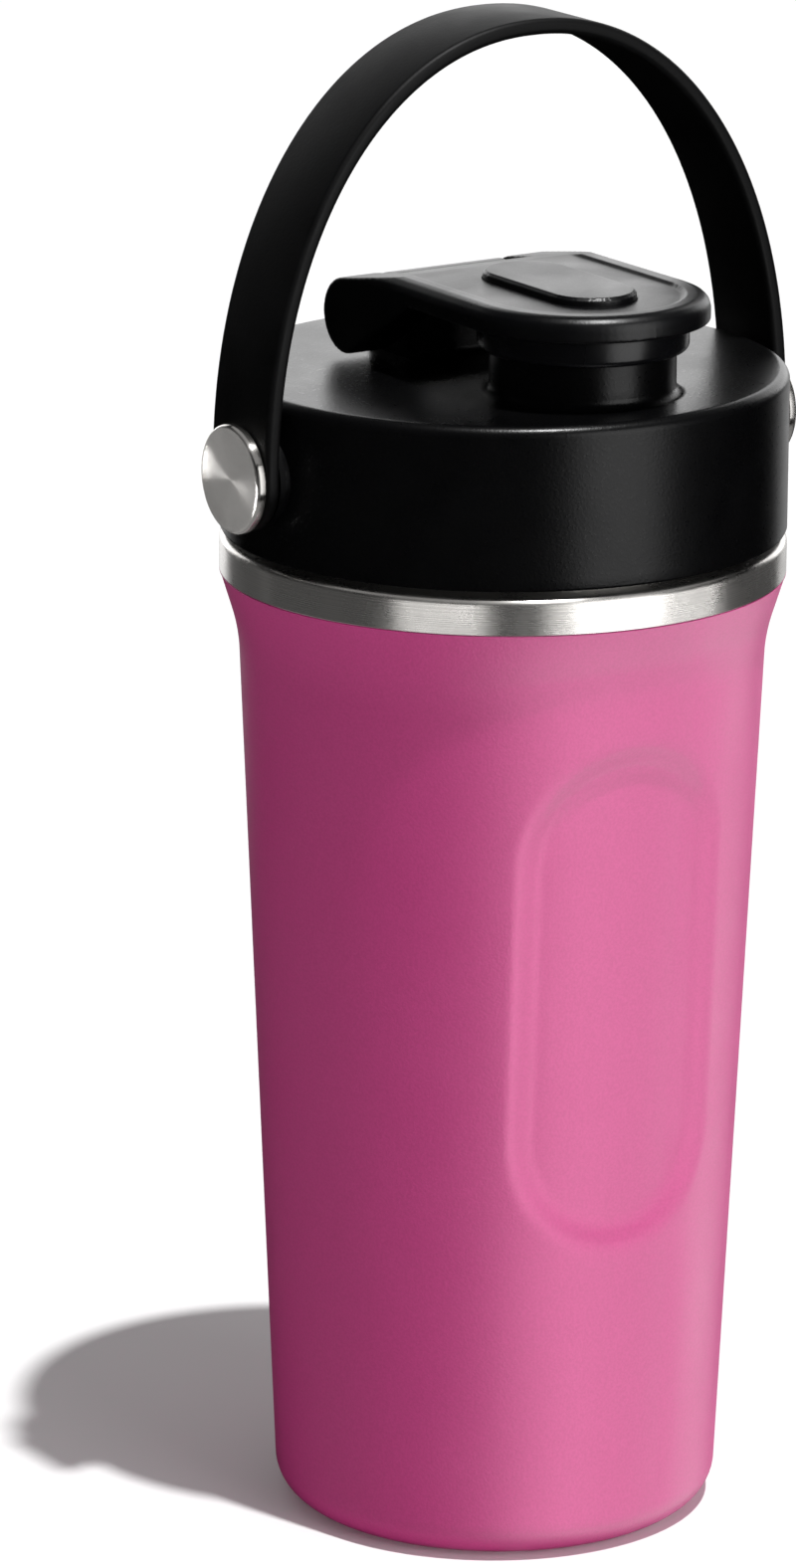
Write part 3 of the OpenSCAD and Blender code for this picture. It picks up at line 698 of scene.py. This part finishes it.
def makeGrid():
    s = gridSize
    pieces = [loftMesh("collar", latheRings(s["collar"], 160), rowsClosed=True)]
    for share in s["ringShares"]:
        depth = s["depth"] * share
        section = arcPoints(domeRadius(depth) - 0.8, s["rimZ"] + 0.6 - depth, s["barMm"] / 2, 0, 330, 11)
        pieces.append(loftMesh("ring", latheRings(section, 128), rowsClosed=True))
    low = s["rimZ"] - s["depth"]
    top = low + s["hubHeight"]
    flatR = s["hubR"] - s["hubEdge"]
    hub = [(0, low), (flatR, low), (s["hubR"], low + 0.3), (s["hubR"], top - 0.3), (flatR, top), (0, top)]
    pieces.append(loftMesh("hub", latheRings(hub, 64)))
    ribs = makeRibs()
    whole = bmesh.new()
    whole.from_mesh(ribs.data)
    for mesh in pieces:
        whole.from_mesh(mesh)
    mesh = bpy.data.meshes.new("mixingGrid")
    whole.to_mesh(mesh)
    whole.free()
    bpy.data.objects.remove(ribs)
    return makeObject("mixingGrid", mesh)


settle(smoothShade(makeGrid()), gridPlastic, "agitator", "grid_plastic", "mixing_grid")
print("mixing grid made")

# floor, light and camera
stageSize = {"floorHalf": 9.0, "floor": "#F2F2F2", "cameraSide": -33.67, "middle": (0.0, 0.0, 0.12),
             "sunPower": 2.85, "sunDegrees": 1.8, "sunSide": 41, "sunHeight": 73.9, "airStrength": 0.3}


def makeFloor():
    half = stageSize["floorHalf"] / mm
    mesh = loftMesh("floor", [[(-half, -half, 0), (half, -half, 0)], [(-half, half, 0), (half, half, 0)]],
                    ringClosed=False)
    floor = makeObject("studioFloor", mesh)
    material, tree, point, shader = newMaterial("paperSweepWhite")
    # matt paper: white, with a faint fibre
    grainBump(tree, point, 1.2, 0.02, shader)
    shader.inputs["Base Color"].default_value = hexToLinear(stageSize["floor"])
    shader.inputs["Roughness"].default_value = 0.9
    shader.inputs["Specular IOR Level"].default_value = 0.1
    floor.data.materials.append(material)
    floor.visible_glossy = False


def around(side, height, distance):
    # a place seen from the object: degrees to the camera's right, degrees above the level, metres
    angle = math.radians(side + stageSize["cameraSide"])
    level = math.cos(math.radians(height))
    toward = Vector((math.sin(angle) * level, -math.cos(angle) * level, math.sin(math.radians(height))))
    return Vector(stageSize["middle"]) + toward * distance


def addLamp(name, data, place):
    lamp = bpy.data.objects.new(name, data)
    lamp.location = place
    lamp.rotation_euler = (Vector(stageSize["middle"]) - place).to_track_quat("-Z", "Y").to_euler()
    lamp.visible_camera = False
    scene.collection.objects.link(lamp)
    return lamp


def addSoftbox(name, side, height, away, size, glow, diffuse=True, glossy=True, only=None):
    # glow: brightness of the softbox's face; only: the pieces it lights, when it is meant for some alone
    data = bpy.data.lights.new(name, "AREA")
    data.shape = "RECTANGLE"
    data.size, data.size_y = size
    data.energy = glow * math.pi * size[0] * size[1]
    lamp = addLamp(name, data, around(side, height, away))
    lamp.visible_diffuse = diffuse
    lamp.visible_glossy = glossy
    if only:
        group = bpy.data.collections.new(name + "Pieces")
        for piece in only:
            group.objects.link(piece)
        lamp.light_linking.receiver_collection = group
        lamp.light_linking.blocker_collection = group
    return lamp


def makeLights():
    addSoftbox("keySoftbox", side=47, height=8, away=0.9, size=(0.6, 0.9), glow=1.85)
    addSoftbox("backCard", side=180, height=18, away=1.3, size=(2.2, 0.7), glow=1.9, diffuse=False)
    addSoftbox("edgeCardLeft", side=-157, height=-2, away=1.1, size=(0.42, 0.5), glow=1.1, diffuse=False)
    addSoftbox("edgeCardRight", side=157, height=-2, away=1.1, size=(0.42, 0.5), glow=0.75, diffuse=False)
    # the coat takes a broad sheen from the right, and the steel has its own strips to reflect
    addSoftbox("coatSheen", side=70, height=-22, away=0.9, size=(3.1, 1.7), glow=4.2,
               diffuse=False, only=[shell])
    addSoftbox("coatGleam", side=33, height=-22, away=0.9, size=(0.55, 1.7), glow=4.4,
               diffuse=False, only=[shell])
    addSoftbox("coatKey", side=22, height=-14, away=0.9, size=(0.5, 1.1), glow=0.6,
               glossy=False, only=[shell])
    addSoftbox("bandStrip", side=-24, height=-6, away=0.7, size=(0.44, 0.4), glow=1.3,
               diffuse=False, only=[band])
    addSoftbox("bandKey", side=56, height=-6, away=0.9, size=(1.4, 0.5), glow=1.4, diffuse=False, only=[band])
    addSoftbox("rivetCard", side=-75, height=-16, away=0.9, size=(0.3, 0.26), glow=14.0,
               diffuse=False, only=rivets)
    addSoftbox("rivetFill", side=-113, height=-16, away=0.9, size=(1.2, 0.8), glow=0.22,
               diffuse=False, only=rivets)
    # above and below, what the steel shows to a higher or lower eye
    addSoftbox("steelUnder", side=0, height=-90, away=0.6, size=(1.7, 1.7), glow=0.3,
               diffuse=False, only=[band] + rivets)
    addSoftbox("steelOver", side=0, height=90, away=0.9, size=(2.2, 2.2), glow=0.35,
               diffuse=False, only=[band] + rivets)
    for side in (-145, -75, 20, 105):
        addSoftbox("steelFill", side=side, height=-4, away=1.2, size=(1.8, 1.0), glow=0.09,
                   diffuse=False, only=[band] + rivets)
    s = stageSize
    sun = bpy.data.lights.new("highLamp", "SUN")
    sun.energy = s["sunPower"]
    sun.angle = math.radians(s["sunDegrees"])
    addLamp("highLamp", sun, around(s["sunSide"], s["sunHeight"], 2))
    world = bpy.data.worlds.new("studioAir")
    world.use_nodes = True
    air = world.node_tree.nodes["Background"]
    air.inputs["Color"].default_value = hexToLinear("#FFFFFF")
    air.inputs["Strength"].default_value = s["airStrength"]
    scene.world = world
    world.cycles_visibility.glossy = False


# a long lens, from the front left and a little above
viewSize = {"place": (-0.6653, -0.9987, 0.4606), "ahead": (0.5223, 0.8083, -0.2717), "roll": 0.0055,
            "lens": 174.97, "sensor": 36, "farthest": 50}


def makeCamera():
    data = bpy.data.cameras.new("studioCamera")
    data.sensor_width = viewSize["sensor"]
    data.sensor_fit = "AUTO"
    data.lens = viewSize["lens"]
    data.clip_end = viewSize["farthest"]
    camera = bpy.data.objects.new("studioCamera", data)
    aim = Vector(viewSize["ahead"]).to_track_quat("-Z", "Y").to_matrix().to_4x4()
    camera.matrix_world = (Matrix.Translation(viewSize["place"]) @ aim
                           @ Matrix.Rotation(viewSize["roll"], 4, "Z"))
    scene.collection.objects.link(camera)
    scene.camera = camera


makeFloor()
makeLights()
makeCamera()
print("stage made")
